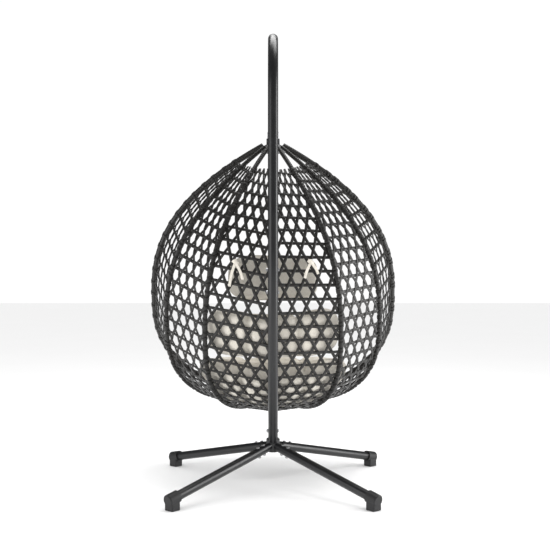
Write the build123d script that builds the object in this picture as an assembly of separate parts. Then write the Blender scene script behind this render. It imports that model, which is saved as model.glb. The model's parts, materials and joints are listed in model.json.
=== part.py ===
from build123d import *
from math import asin, atan2, cos, degrees, hypot, pi, radians, sin
import os

# Hanging egg chair, in millimetres. +Z is up and the floor is at Z = 0. The chair's mouth faces +Y
# and its post stands at the back, on the -Y side. The pieces are worked out about the hang line,
# the upright line through the suspension, and are moved along Y at the end so that the origin lies
# at the middle of the chair's footprint.

# ---- stand ----
post_diameter = 42.0
post_wall = 2.0
post_offset = 470.0  # hang line to the post's upright stretch
arch_radius = 235.0  # centreline of the crook
arch_centre_height = 1690.0
arch_past_crown = 76.0  # degrees that the crook runs on past its highest point
plug_length = 20.0
post_joint_height = 895.0  # where the two post tubes meet
post_bow_top = 1000.0  # the post is upright above this height
sleeve_reach = 75.0  # of the inner sleeve, each way from the joint
slip_clearance = 0.1  # radial, between tubes that slide into each other

hub_offset = 163.0  # hang line to the hub
hub_height = 172.0  # where the leg axes cross
hub_diameter = 60.0
hub_depth = 60.0
hub_chamfer = 5.0
hub_bore_start = 40.0  # from the hub's centre to each spigot's bore
post_spigot_wall = 5.0
leg_spigot_wall = 4.0
post_start = 45.0  # hub centre to the post's lower end
post_straight = 95.0  # straight stretch at the post's foot
post_spigot = 80.0

leg_diameter = 38.0
leg_wall = 2.0
leg_start = 42.0  # hub centre to the leg's inner end
leg_reach = 618.0  # hub centre to the foot, in plan
leg_spigot = 130.0
rear_leg_angle = 41.3  # from -Y
front_leg_angle = 51.2  # from +Y
foot_axis_height = 40.0
foot_cap_diameter = 50.0
foot_cap_length = 54.0
foot_cap_wall = 5.0
foot_block_width = 46.0
foot_block_length = 44.0
foot_block_round = 6.0
foot_block_chamfer = 2.0
foot_cap_chamfer = 4.0
leg_bolt_places = (62.0, 95.0)
bolt_diameter = 8.0
bolt_clearance = 0.4  # on the diameter of a hole for a screw
screw_hole_overrun = 4.0  # that a hole's cutter runs past a tube, each side
screw_end = 1.5  # of thread past each nut
bolt_head_diameter = 14.0
bolt_head_height = 4.5
bolt_head_round = 2.7
nut_width = 13.0
nut_height = 6.5
post_bolt_gap = 46.0  # joint to each post screw

# ---- suspension ----
eye_height = 1716.0
eye_hole_radius = 7.0
eye_outer_radius = 14.0
eye_thickness = 6.0
eye_root_depth = 22.0  # of the eye plate inside the crook
eye_half_width = 12.0
lid_height = 4.0
lid_chamfer = 1.5
carabiner_wire = 8.0
carabiner_length = 54.0  # between the centres of its two ends
carabiner_width = 26.0
gate_travel_gap = 0.4
gate_round = 1.2
gate_slimmer = 1.0  # than the link's wire
gate_end_inset = 2.0  # from where the link's ends start to curve
spring_wire = 5.0
spring_mean_radius = 14.0
spring_turns = 8
spring_body = 45.0
hook_radius = 10.0
hook_stem = 5.0
hook_mouth = 50.0  # degrees of the ring left open beside the stem
end_plug = 3.5  # disc on each hook that the coil's end seats on
loop_wire = 8.0
loop_radius = 22.0
loop_root = 12.0  # of the loop's legs inside the crown boss
contact_gap = 0.8  # where one link hangs in the next

# ---- basket ----
basket_tilt = 19.5  # degrees that the basket leans back as it hangs
basket_length = 1282.0  # crown to bottom ring along the basket's axis
basket_radius = 573.0
widest_share = 0.623  # of the length, from the crown
crown_power = 2.59
bottom_power = 2.35
apex_height = 1527.0
rib_angles = (31.0, 57.0)
rim_angle = 90.0
rib_diameter = 19.0
rib_wall = 1.5
rim_diameter = 25.0
rim_wall = 1.5
crown_radius = 30.0
crown_above = 9.0
crown_below = 46.0
crown_chamfer = 3.0
rib_start_radius = 50.0
gusset_radius = 78.0
gusset_thickness = 3.0
bottom_ring_radius = 70.0
bottom_ring_wall = 4.0
bottom_ring_height = 30.0
bottom_ring_rise = 6.0  # of its middle above the basket's lowest point
bottom_plate_thickness = 4.0
ring_gap = 4.0  # that the ribs stop short of the ring's two faces
panel_thickness = 3.0
panel_gap = 1.0
panel_top_radius = 105.0
panel_bottom_radius = 92.0
panel_stations = 11

# ---- cushions ----
cushion_gap = 34.0  # basket profile to the cushion's outer face
seat_thickness = 105.0
back_thickness = 85.0
seat_half_angle = 48.0
back_half_angle = 35.0
seat_from_share = 0.68  # of the basket's length, from the crown
back_from_share = 0.475
seam_gap = 6.0
seat_front_radius = 110.0
pillow_width = 390.0
pillow_height = 205.0
pillow_depth = 105.0
pillow_centre_height = 905.0
pillow_round = 42.0
pillow_gap = 76.0  # back wall to the pillow, so that its flat back clears the curved panels
tie_width = 24.0
tie_thickness = 2.0
tie_spread = 115.0
tie_length = 110.0
tie_rise = 44.0  # of the tapes' middle above the pillow
tie_gap = 70.0  # back wall to the tapes

os.makedirs("parts", exist_ok=True)

hub_centre = Vector(0, -hub_offset, hub_height)
basket_place = Location((0, 0, apex_height), (basket_tilt, 0, 0))


# ---- helpers ----
def tube_along(path, outer, wall):
    """A round tube of the given outer diameter along a path."""
    start = Plane(path @ 0, z_dir=path % 0)
    ring = start * (Circle(outer / 2) - Circle(outer / 2 - wall))
    return sweep(ring, path)


def rod_along(path, diameter):
    return sweep(Plane(path @ 0, z_dir=path % 0) * Circle(diameter / 2), path)


def rod_between(a, b, diameter):
    return rod_along(Line(a, b), diameter)


def profile_at(t):
    """Radius and distance below the crown: t runs 0 to 1 to the widest ring and 1 to 2 to the bottom."""
    if t <= 1:
        v = 1 - t
        return basket_radius * (1 - v**crown_power), widest_share * basket_length * t
    turn = (t - 1) * pi / 2
    w = sin(turn) ** (2 / bottom_power)
    return basket_radius * cos(turn), basket_length * (widest_share + (1 - widest_share) * w)


def t_of_crown_radius(radius):
    return 1 - (1 - radius / basket_radius) ** (1 / crown_power)


def t_of_bottom_radius(radius):
    return 1 + (pi / 2 - asin(radius / basket_radius)) / (pi / 2)


def t_of_share(share):
    """The profile's parameter at a share of the basket's length."""
    if share <= widest_share:
        return share / widest_share
    w = (share - widest_share) / (1 - widest_share)
    return 1 + asin(w ** (bottom_power / 2)) / (pi / 2)


def profile_normal(t):
    """Outward unit normal of the profile, as radius and distance below the crown."""
    step = 1e-4
    r0, s0 = profile_at(t - step)
    r1, s1 = profile_at(t + step)
    size = hypot(r1 - r0, s1 - s0)
    return (s1 - s0) / size, -(r1 - r0) / size


def offset_point(t, inward):
    radius, below = profile_at(t)
    n_r, n_s = profile_normal(t)
    return radius - inward * n_r, below - inward * n_s


def on_basket(radius, below, angle):
    """A point in the basket's own frame: angle 0 is the middle of the back."""
    return Vector(radius * sin(angle), -radius * cos(angle), -below)


# ---- stand ----
def solve_bow():
    """Lean of the post's straight foot and radius of its bow, so that both meet the upright stretch."""
    run = post_offset - hub_offset
    rise = post_bow_top - hub_height
    foot = post_start + post_straight
    low, high = radians(1), radians(89)
    for _ in range(60):
        angle = (low + high) / 2
        radius = (rise - foot * cos(angle)) / sin(angle)
        if foot * sin(angle) + radius * (1 - cos(angle)) < run:
            low = angle
        else:
            high = angle
    return angle, radius


def bow_point(angle):
    """A point on the bow's centreline, by its angle below the upright stretch."""
    y = -post_offset + bow_radius * (1 - cos(angle))
    return Vector(0, y, post_bow_top - bow_radius * sin(angle))


lean, bow_radius = solve_bow()
post_back = Vector(0, -sin(lean), cos(lean))
post_foot = hub_centre + post_back * post_start
bow_start = hub_centre + post_back * (post_start + post_straight)
crook_start = Vector(0, -post_offset, arch_centre_height)
joint_angle = asin((post_bow_top - post_joint_height) / bow_radius)
joint_point = bow_point(joint_angle)
joint_direction = Vector(0, -sin(joint_angle), cos(joint_angle))
arch_centre = Vector(0, -post_offset + arch_radius, arch_centre_height)
crown_turn = radians(arch_past_crown)
arch_tip = arch_centre + Vector(0, sin(crown_turn), cos(crown_turn)) * arch_radius
tip_direction = Vector(0, cos(crown_turn), -sin(crown_turn))
post_bore = post_diameter - 2 * post_wall
leg_bore = leg_diameter - 2 * leg_wall
screw_hole = bolt_diameter + bolt_clearance


def lower_post():
    half = (lean + joint_angle) / 2
    path = Line(post_foot, bow_start) + ThreePointArc(
        bow_start, bow_point(half), joint_point
    )
    tube = tube_along(path, post_diameter, post_wall)
    return tube - hub_screw_axis(screw_hole) - post_screw(-1, screw_hole)


def crook_point(turn):
    """A point on the crook's centreline, by its angle past the highest point."""
    return arch_centre + Vector(0, sin(turn), cos(turn)) * arch_radius


def upper_post():
    mid = crook_point((crown_turn - pi / 2) / 2)
    path = (
        ThreePointArc(joint_point, bow_point(joint_angle / 2), bow_point(0))
        + Line(bow_point(0), crook_start)
        + ThreePointArc(crook_start, mid, arch_tip)
    )
    tube = tube_along(path, post_diameter, post_wall)
    return tube - post_screw(1, screw_hole)


def post_sleeve():
    """The inner sleeve that joins the post's two tubes."""
    reach = joint_direction * sleeve_reach
    sleeve_outer = post_bore - 2 * sleeve_relief()
    tube = tube_along(Line(joint_point - reach, joint_point + reach), sleeve_outer, post_wall)
    return tube - post_screw(-1, screw_hole) - post_screw(1, screw_hole)


def sleeve_relief():
    """Radial room that lets a straight sleeve lie inside the bowed tubes."""
    return slip_clearance + sleeve_reach**2 / (2 * bow_radius)


def post_screw(side, diameter):
    """A screw shank across the post, above (1) or below (-1) the joint."""
    centre = joint_point + joint_direction * (side * post_bolt_gap)
    half = post_diameter / 2 + screw_hole_overrun
    return rod_between(centre - Vector(half, 0, 0), centre + Vector(half, 0, 0), diameter)


def hub_screw_axis(diameter):
    centre = hub_centre + post_back * (post_start + post_spigot / 2)
    half = post_diameter / 2 + screw_hole_overrun
    return rod_between(centre - Vector(half, 0, 0), centre + Vector(half, 0, 0), diameter)


def screw_with_nut(centre, axis, half_grip):
    """A button-head screw through a tube with a nut on its far side."""
    top = centre + axis * half_grip
    low = centre - axis * half_grip
    shank = rod_between(low - axis * (nut_height + screw_end), top, bolt_diameter)
    head = Plane(top, z_dir=axis) * Cylinder(
        bolt_head_diameter / 2, bolt_head_height, align=(Align.CENTER, Align.CENTER, Align.MIN)
    )
    head = fillet(head.edges().sort_by(Axis(top, axis))[-1], bolt_head_round)
    hexagon = Plane(low, z_dir=axis * -1) * RegularPolygon(nut_width / 2, 6, major_radius=False)
    nut = extrude(hexagon, nut_height)
    return (shank + head + nut).solid()


def post_screws():
    grip = post_diameter / 2
    centres = [joint_point + joint_direction * (side * post_bolt_gap) for side in (-1, 1)]
    centres.append(hub_centre + post_back * (post_start + post_spigot / 2))
    return Compound([screw_with_nut(centre, Vector(1, 0, 0), grip) for centre in centres])


leg_headings = {
    "rear_left": Vector(-sin(radians(rear_leg_angle)), -cos(radians(rear_leg_angle)), 0),
    "rear_right": Vector(sin(radians(rear_leg_angle)), -cos(radians(rear_leg_angle)), 0),
    "front_left": Vector(-sin(radians(front_leg_angle)), cos(radians(front_leg_angle)), 0),
    "front_right": Vector(sin(radians(front_leg_angle)), cos(radians(front_leg_angle)), 0),
}


def leg_axis(heading):
    """Hub centre, foot end and direction of a leg."""
    foot = hub_centre + heading * leg_reach
    foot = Vector(foot.X, foot.Y, foot_axis_height)
    return foot, (foot - hub_centre).normalized()


def leg_up(heading):
    """The direction square to the leg and as near upright as it can be."""
    _, along = leg_axis(heading)
    side = along.cross(Vector(0, 0, 1)).normalized()
    return side.cross(along).normalized()


def leg_screw_cuts(heading):
    _, along = leg_axis(heading)
    up = leg_up(heading)
    half = leg_diameter / 2 + screw_hole_overrun
    cuts = []
    for place in leg_bolt_places:
        centre = hub_centre + along * place
        cuts.append(rod_between(centre - up * half, centre + up * half, screw_hole))
    return cuts


def leg(heading):
    foot, along = leg_axis(heading)
    path = Line(hub_centre + along * leg_start, foot)
    tube = tube_along(path, leg_diameter, leg_wall)
    for cut in leg_screw_cuts(heading):
        tube -= cut
    return tube


def leg_screws():
    screws = []
    for heading in leg_headings.values():
        _, along = leg_axis(heading)
        for place in leg_bolt_places:
            centre = hub_centre + along * place
            screws.append(screw_with_nut(centre, leg_up(heading), leg_diameter / 2))
    return Compound(screws)


def hub():
    """The welded hub: a short drum with four leg spigots and the post's spigot."""
    body = Plane(hub_centre) * Cylinder(hub_diameter / 2, hub_depth)
    body = chamfer(body.edges().filter_by(GeomType.CIRCLE), hub_chamfer)
    for heading in leg_headings.values():
        _, along = leg_axis(heading)
        body += rod_between(hub_centre, hub_centre + along * leg_spigot, leg_bore - 2 * slip_clearance)
    tip = hub_centre + post_back * (post_start + post_spigot)
    body += rod_between(hub_centre, tip, post_bore - 2 * slip_clearance)
    start = hub_centre + post_back * hub_bore_start
    body -= rod_between(start, tip + post_back, post_bore - 2 * post_spigot_wall)
    for heading in leg_headings.values():
        _, along = leg_axis(heading)
        start = hub_centre + along * hub_bore_start
        body -= rod_between(start, hub_centre + along * (leg_spigot + 1), leg_bore - 2 * leg_spigot_wall)
        for cut in leg_screw_cuts(heading):
            body -= cut
    return body - hub_screw_axis(screw_hole)


def foot_block_centre(heading):
    foot, along = leg_axis(heading)
    return foot - along * (foot_cap_length / 2 - foot_cap_wall)


def foot_cap(heading):
    """A moulded cap over the leg's end, with a block under it that stands on the floor."""
    foot, along = leg_axis(heading)
    inner = foot - along * (foot_cap_length - foot_cap_wall)
    outer = foot + along * foot_cap_wall
    shell = rod_between(inner, outer, foot_cap_diameter)
    shell = chamfer(shell.edges().sort_by(Axis(foot, along))[-1], foot_cap_chamfer)
    centre = foot_block_centre(heading)
    block_plane = Plane((centre.X, centre.Y, 0), x_dir=heading, z_dir=(0, 0, 1))
    block = extrude(
        block_plane
        * RectangleRounded(foot_block_length, foot_block_width, foot_block_round),
        foot_axis_height,
    )
    block = chamfer(block.edges().group_by(Axis.Z)[0], foot_block_chamfer)
    bore = rod_between(inner - along, foot, leg_diameter + 2 * slip_clearance)
    return (shell + block - bore).solid()


def arch_eye():
    """A flat eye plate let into the crook's open end, with its hole across the chair."""
    root = arch_tip - tip_direction * eye_root_depth
    eye = Vector(0, 0, eye_height)
    across = Plane((-eye_thickness / 2, 0, 0), x_dir=(0, 1, 0), z_dir=(1, 0, 0))
    heading = (eye - root).normalized()
    side = Vector(0, -heading.Z, heading.Y)
    half = side * eye_half_width
    corners = [root + half, eye + half, eye - half, root - half]
    outline = Polyline(*[(c.Y, c.Z) for c in corners], close=True)
    plate = extrude(across * make_face(outline), eye_thickness)
    disc = Plane((-eye_thickness / 2, 0, eye_height), z_dir=(1, 0, 0)) * Circle(eye_outer_radius)
    hole = Plane((-eye_thickness, 0, eye_height), z_dir=(1, 0, 0)) * Circle(eye_hole_radius)
    return plate + extrude(disc, eye_thickness) - extrude(hole, 2 * eye_thickness)


def arch_end_cap(eye_plate):
    """A plug that closes the crook's end round the eye plate."""
    turn = crown_turn - plug_length / arch_radius
    middle = (turn + crown_turn) / 2
    path = ThreePointArc(crook_point(turn), crook_point(middle), arch_tip)
    plug = rod_along(path, post_bore - 2 * slip_clearance)
    lid = rod_between(arch_tip, arch_tip + tip_direction * lid_height, post_diameter)
    lid = chamfer(lid.edges().sort_by(Axis(arch_tip, tip_direction))[-1], lid_chamfer)
    return plug + lid - eye_plate


# ---- suspension ----
carabiner_top = eye_height - eye_hole_radius + carabiner_wire / 2 + contact_gap
carabiner_bottom = carabiner_top - carabiner_length
hook_top = carabiner_bottom + carabiner_wire / 2 + spring_wire / 2 + contact_gap
coil_top = hook_top - 2 * hook_radius - hook_stem - contact_gap / 2
coil_bottom = coil_top - spring_body
hook_bottom = coil_bottom - 2 * hook_radius - hook_stem - contact_gap / 2
loop_top = hook_bottom + spring_wire / 2 + loop_wire / 2 + contact_gap
gate_top = carabiner_top - carabiner_width / 2 - gate_end_inset
gate_bottom = carabiner_bottom + carabiner_width / 2 + gate_end_inset
gate_radius = (carabiner_wire - gate_slimmer) / 2
gate_pivot = gate_bottom + gate_travel_gap + gate_radius


def carabiner_body():
    """An oval snap link in the XZ plane, open on its left side where the gate closes it."""
    r = carabiner_width / 2
    top = carabiner_top - r
    low = carabiner_bottom + r
    path = (
        Line((-r, 0, gate_top), (-r, 0, top))
        + ThreePointArc((-r, 0, top), (0, 0, top + r), (r, 0, top))
        + Line((r, 0, top), (r, 0, low))
        + ThreePointArc((r, 0, low), (0, 0, low - r), (-r, 0, low))
        + Line((-r, 0, low), (-r, 0, gate_bottom))
    )
    return rod_along(path, carabiner_wire)


def carabiner_gate():
    """The straight gate between the link's two ends. Its lower end is a ball about the hinge axis."""
    r = carabiner_width / 2
    high = gate_top - gate_travel_gap
    bar = rod_between((-r, 0, gate_pivot), (-r, 0, high), 2 * gate_radius)
    bar = fillet(bar.edges().filter_by(GeomType.CIRCLE).sort_by(Axis.Z)[-1], gate_round)
    return bar + Pos(-r, 0, gate_pivot) * Sphere(gate_radius)


def half_hook(top, bend_centre, toward):
    """A spring's end hook in the YZ plane: a near-full ring with a stem that reaches the coil."""
    r = hook_radius
    centre = Vector(0, 0, bend_centre)
    up = Vector(0, 0, toward)
    mouth = radians(hook_mouth)
    a = centre + Vector(0, -r * sin(mouth), 0) - up * (r * cos(mouth))
    b = centre + up * r
    c = centre + Vector(0, r, 0)
    d = centre - up * r
    ring = ThreePointArc(a, centre + Vector(0, -r, 0), b) + ThreePointArc(b, c, d)
    foot = d - up * hook_stem
    stem = rod_between(foot, d, spring_wire)
    top_of_plug = foot + up * end_plug
    plug = rod_between(foot, top_of_plug, 2 * spring_mean_radius + spring_wire)
    return rod_along(ring, spring_wire) + stem + plug


def spring_top_hook():
    return half_hook(hook_top, hook_top - hook_radius, 1)


def spring_bottom_hook():
    return half_hook(hook_bottom, hook_bottom + hook_radius, -1)


def spring_coil():
    pitch = (spring_body - spring_wire) / spring_turns
    start = coil_bottom + spring_wire / 2
    path = Helix(pitch, spring_body - spring_wire, spring_mean_radius, center=(0, 0, start))
    return rod_along(path, spring_wire)


def hanging_loop():
    """The inverted U on the basket's crown, with its legs let into the crown boss."""
    r = loop_radius
    centre = loop_top - r
    foot = apex_height - crown_above - loop_root
    path = (
        Line((-r, 0, foot), (-r, 0, centre))
        + ThreePointArc((-r, 0, centre), (0, 0, loop_top), (r, 0, centre))
        + Line((r, 0, centre), (r, 0, foot))
    )
    return rod_along(path, loop_wire)


# ---- basket ----
def rib_path(angle, start_radius):
    """The rib's centreline from the crown to the bottom ring, in the basket's own frame."""
    t0 = t_of_crown_radius(start_radius)
    t1 = t_of_bottom_radius(bottom_ring_radius)
    upper = [t0 + (1 - t0) * k / 7 for k in range(8)]
    lower = [1 + (t1 - 1) * k / 8 for k in range(1, 9)]
    points = [on_basket(*profile_at(t), angle) for t in upper + lower]
    return Spline(*points)


def rib(angle_degrees, diameter, wall, start_radius):
    path = rib_path(radians(angle_degrees), start_radius)
    return basket_place * tube_along(path, diameter, wall)


def crown_boss(loop):
    """The turned boss that the rim tubes and the gusset are welded to."""
    blank = Pos(0, 0, (crown_above - crown_below) / 2) * Cylinder(crown_radius, crown_above + crown_below)
    blank = chamfer(blank.edges().filter_by(GeomType.CIRCLE), crown_chamfer)
    return basket_place * blank - loop


def profile_band(t0, t1, inner, outer, count=8):
    """A closed face between two offsets of the basket's profile, in the XZ plane."""
    steps = [t0 + (t1 - t0) * k / count for k in range(count + 1)]
    near = [offset_point(t, inner) for t in steps]
    far = [offset_point(t, outer) for t in steps]
    first = Spline(*[(r, 0, -s) for r, s in near])
    second = Spline(*[(r, 0, -s) for r, s in far])
    ends = [Line(first @ 0, second @ 0), Line(first @ 1, second @ 1)]
    return make_face([first, second] + ends)


def revolved_band(t0, t1, inner, outer, half_angle, count=8):
    band = profile_band(t0, t1, inner, outer, count)
    turned = revolve(band, Axis.Z, 2 * half_angle)
    return basket_place * (Rot(0, 0, -90 - half_angle) * turned)


def crown_gusset(members):
    """Curved gusset plates that fill the corners between the tubes at the crown."""
    t0 = t_of_crown_radius(crown_radius - 3)
    t1 = t_of_crown_radius(gusset_radius)
    half = gusset_thickness / 2
    plate = revolved_band(t0, t1, -half, half, rim_angle, 3)
    for member in members:
        plate -= member
    return Compound([piece for piece in plate.solids() if piece.volume > 200])


def bottom_ring():
    centre = -basket_length + bottom_ring_rise
    ring = Cylinder(bottom_ring_radius, bottom_ring_height) - Cylinder(
        bottom_ring_radius - bottom_ring_wall, bottom_ring_height
    )
    plate = Pos(0, 0, (bottom_plate_thickness - bottom_ring_height) / 2) * Cylinder(
        bottom_ring_radius - 1, bottom_plate_thickness
    )
    return basket_place * (Pos(0, 0, centre) * (ring + plate))


def tube_without_core(angle_degrees, diameter, start_radius):
    """The solid bar that a rib's outside fills, for cutting what meets it."""
    return basket_place * rod_along(rib_path(radians(angle_degrees), start_radius), diameter)


def panel(left_angle, right_angle, left_half, right_half):
    """A woven panel between two ribs: flat across, curved along, drawn here as a thin sheet."""
    spread = radians(right_angle - left_angle)
    middle = radians(right_angle + left_angle) / 2
    outward = Vector(sin(middle), -cos(middle), 0)
    across = Vector(cos(middle), sin(middle), 0)
    t0 = t_of_crown_radius(panel_top_radius)
    t1 = t_of_bottom_radius(panel_bottom_radius)
    sections = []
    for k in range(panel_stations):
        t = t0 + (t1 - t0) * k / (panel_stations - 1)
        radius, below = profile_at(t)
        n_r, n_s = profile_normal(t)
        half_chord = radius * sin(spread / 2)
        low = -half_chord + left_half + panel_gap
        high = half_chord - right_half - panel_gap
        centre = outward * (radius * cos(spread / 2)) + across * ((low + high) / 2) - Vector(0, 0, below)
        normal = (outward * n_r - Vector(0, 0, n_s)).normalized()
        section = Plane(centre, x_dir=across, z_dir=normal.cross(across))
        sections.append(section * Rectangle(high - low, panel_thickness))
    return basket_place * loft(sections)


# ---- cushions ----
def seat_cushion():
    t0 = t_of_share(seat_from_share)
    t1 = t_of_bottom_radius(seat_front_radius + cushion_gap)
    return revolved_band(t0, t1, cushion_gap, cushion_gap + seat_thickness, seat_half_angle)


def back_cushion():
    t0 = t_of_share(back_from_share)
    t1 = t_of_share(seat_from_share - seam_gap / basket_length)
    return revolved_band(t0, t1, cushion_gap, cushion_gap + back_thickness, back_half_angle)


def back_wall_place(height, inward):
    """The point at a height inside the back rib, and the wall's lean there."""
    low, high = 0.05, 1.9
    for _ in range(50):
        middle = (low + high) / 2
        r, s = offset_point(middle, inward)
        point = basket_place * Pos(*on_basket(r, s, 0))
        if point.position.Z > height:
            low = middle
        else:
            high = middle
    n_r, n_s = profile_normal(middle)
    lean_back = degrees(atan2(-n_s, n_r)) - basket_tilt
    return point.position, lean_back


def pillow_solid():
    place, lean_back = back_wall_place(pillow_centre_height, pillow_gap + pillow_depth / 2)
    block = Box(pillow_width, pillow_depth, pillow_height)
    block = fillet(block.edges(), pillow_round)
    return Location(place, (lean_back, 0, 0)) * block


def cushion_ties(blockers):
    """Two flat tapes that hang the pillow from the weave above it."""
    height = pillow_centre_height + pillow_height / 2 + tie_rise
    place, lean_back = back_wall_place(height, tie_gap)
    tapes = []
    for side in (-1, 1):
        tape = Box(tie_width, tie_thickness, tie_length)
        spot = Location(place + Vector(side * tie_spread, 0, 0), (lean_back, 0, 0))
        tapes.append(spot * tape)
    group = Compound(tapes)
    for blocker in blockers:
        group = Compound([piece for piece in (group - blocker).solids() if piece.volume > 500])
    return group


def build_all():
    pieces = {}
    pieces["hub"] = hub()
    pieces["lower_post"] = lower_post()
    pieces["upper_post"] = upper_post()
    pieces["post_sleeve"] = post_sleeve()
    pieces["post_screws"] = post_screws()
    for name, heading in leg_headings.items():
        pieces["leg_" + name] = leg(heading)
        pieces["foot_cap_" + name] = foot_cap(heading)
    pieces["leg_screws"] = leg_screws()
    pieces["arch_eye"] = arch_eye()
    pieces["arch_end_cap"] = arch_end_cap(pieces["arch_eye"])
    pieces["carabiner_body"] = carabiner_body()
    pieces["carabiner_gate"] = carabiner_gate()
    pieces["spring_top_hook"] = spring_top_hook()
    pieces["spring_coil"] = spring_coil()
    pieces["spring_bottom_hook"] = spring_bottom_hook()
    pieces["hanging_loop"] = hanging_loop()
    boss = crown_boss(pieces["hanging_loop"])
    pieces["crown_boss"] = boss
    inner_ribs = [-rib_angles[1], -rib_angles[0], 0.0, rib_angles[0], rib_angles[1]]
    bars = [boss]
    for number, angle in enumerate(inner_ribs, start=1):
        pieces["rib_%d" % number] = rib(angle, rib_diameter, rib_wall, rib_start_radius)
        bars.append(tube_without_core(angle, rib_diameter, rib_start_radius))
    for side, angle in (("left", -rim_angle), ("right", rim_angle)):
        pieces["rim_" + side] = rib(angle, rim_diameter, rim_wall, crown_radius) - boss
        bars.append(tube_without_core(angle, rim_diameter, crown_radius))
    pieces["crown_gusset"] = crown_gusset(bars)
    pieces["bottom_ring"] = bottom_ring()
    ring_room = bottom_ring_height + 2 * ring_gap
    ring_blank = Pos(0, 0, -basket_length + bottom_ring_rise) * Cylinder(bottom_ring_radius, ring_room)
    for name in list(pieces):
        if name.startswith(("rib_", "rim_")):
            trimmed = pieces[name] - basket_place * ring_blank
            pieces[name] = max(trimmed.solids(), key=lambda solid: solid.volume)
    edges = [-rim_angle] + inner_ribs + [rim_angle]
    halves = [rim_diameter / 2] + [rib_diameter / 2] * len(inner_ribs) + [rim_diameter / 2]
    for k in range(len(edges) - 1):
        pieces["weave_panel_%d" % (k + 1)] = panel(edges[k], edges[k + 1], halves[k], halves[k + 1])
    pieces["seat_cushion"] = seat_cushion()
    pieces["back_cushion"] = back_cushion()
    pieces["headrest_pillow"] = pillow_solid()
    pieces["pillow_ties"] = cushion_ties([pieces["headrest_pillow"]])
    return pieces


pieces = build_all()
low_y = min(piece.bounding_box().min.Y for piece in pieces.values())
high_y = max(piece.bounding_box().max.Y for piece in pieces.values())
centre_shift = round(-(low_y + high_y) / 2, 1)
for name, piece in pieces.items():
    export_step(Pos(0, centre_shift, 0) * piece, "parts/%s.step" % name)

print("centre_shift", centre_shift)
print("carabiner pivot", carabiner_top, "hook pivot", hook_top, "loop", loop_top)
print("coil", coil_top, coil_bottom, "gate", gate_pivot, gate_top)
for name, heading in leg_headings.items():
    spot = foot_block_centre(heading)
    print("foot", name, round(spot.X, 2), round(spot.Y + centre_shift, 2))
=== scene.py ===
import json
import math

import bpy
import numpy as np
from bpy.props import FloatProperty, FloatVectorProperty, IntProperty, PointerProperty
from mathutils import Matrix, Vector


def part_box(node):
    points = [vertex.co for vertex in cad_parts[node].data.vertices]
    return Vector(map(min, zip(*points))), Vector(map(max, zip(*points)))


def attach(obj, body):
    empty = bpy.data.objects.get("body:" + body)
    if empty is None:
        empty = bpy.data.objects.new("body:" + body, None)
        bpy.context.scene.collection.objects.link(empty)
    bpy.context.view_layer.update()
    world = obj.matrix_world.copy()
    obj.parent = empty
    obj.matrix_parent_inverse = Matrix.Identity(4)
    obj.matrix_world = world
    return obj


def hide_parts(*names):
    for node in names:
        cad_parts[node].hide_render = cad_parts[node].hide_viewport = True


bl_info = {
    "name": "Hanging Egg Chair",
    "version": (1, 0, 0),
    "blender": (4, 5, 0),
    "location": "View3D > Sidebar > Egg Chair",
    "description": "Builds the weave, wrapped ribs, cushions and finishes of a hanging egg chair",
    "category": "Add Mesh",
}

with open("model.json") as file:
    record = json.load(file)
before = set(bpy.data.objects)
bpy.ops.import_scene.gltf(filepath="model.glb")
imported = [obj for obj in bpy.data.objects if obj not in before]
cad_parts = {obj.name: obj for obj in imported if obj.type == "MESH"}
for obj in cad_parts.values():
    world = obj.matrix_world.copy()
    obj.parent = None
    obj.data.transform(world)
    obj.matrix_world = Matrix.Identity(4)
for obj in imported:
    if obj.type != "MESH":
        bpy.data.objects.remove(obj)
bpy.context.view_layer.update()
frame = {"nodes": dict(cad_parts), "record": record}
loop_low, loop_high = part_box("hanging_loop")
HANG_Y = (loop_low.y + loop_high.y) / 2

INNER_RIBS = (-57.0, -31.0, 0.0, 31.0, 57.0)  # degrees round the basket from its back
RIM_ANGLE = 90.0

PANEL_TOP = 0.118  # the outline's parameter where the cane panels start and end
PANEL_BOTTOM = 1.90
RIB_START = 0.048  # lengths of rib left unwound at the crown and at the bottom ring
RIB_END = 0.062
WRAP_RELIEF = 0.0011  # depth of the groove between two turns of the winding

OUTLINE_POWER = 0.46  # of a cushion's outline: 1 is an ellipse and 0 a rectangle
FACE_POWER = 0.60  # the same for the section through its thickness
WELT_RADIUS = 0.0036
WELT_POINTS = 240
SWELL_FRAMES = 20
SEAMS = (-0.34, 0.34)  # places of the sewn channels, as shares of the cushion's half angle
SEAM_DEPTH = 0.014
SEAM_WIDTH = 0.016
PUCKER_DEPTH = 0.0022
PUCKER_SCALE = 38.0
PILLOW_PUCKER = 0.008  # of the pillow's puckers, as a share of the distance from its middle
PILLOW_PUCKER_SCALE = 60.0

SENSOR_WIDTH = 36.0
LAMPS = (  # name, place, width and height, watts
    ("left_box", (-3.2, -1.7, 1.2), (2.4, 2.4), 42),
    ("right_box", (3.2, -0.3, 1.3), (1.3, 2.4), 75),
    ("top_box", (0.3, 0.6, 3.6), (2.4, 1.6), 60),
)
LAMP_AIM_HEIGHT = 0.9
SEEN_WORLD = 1.02
GLOSSY_WORLD = 0.16


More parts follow.
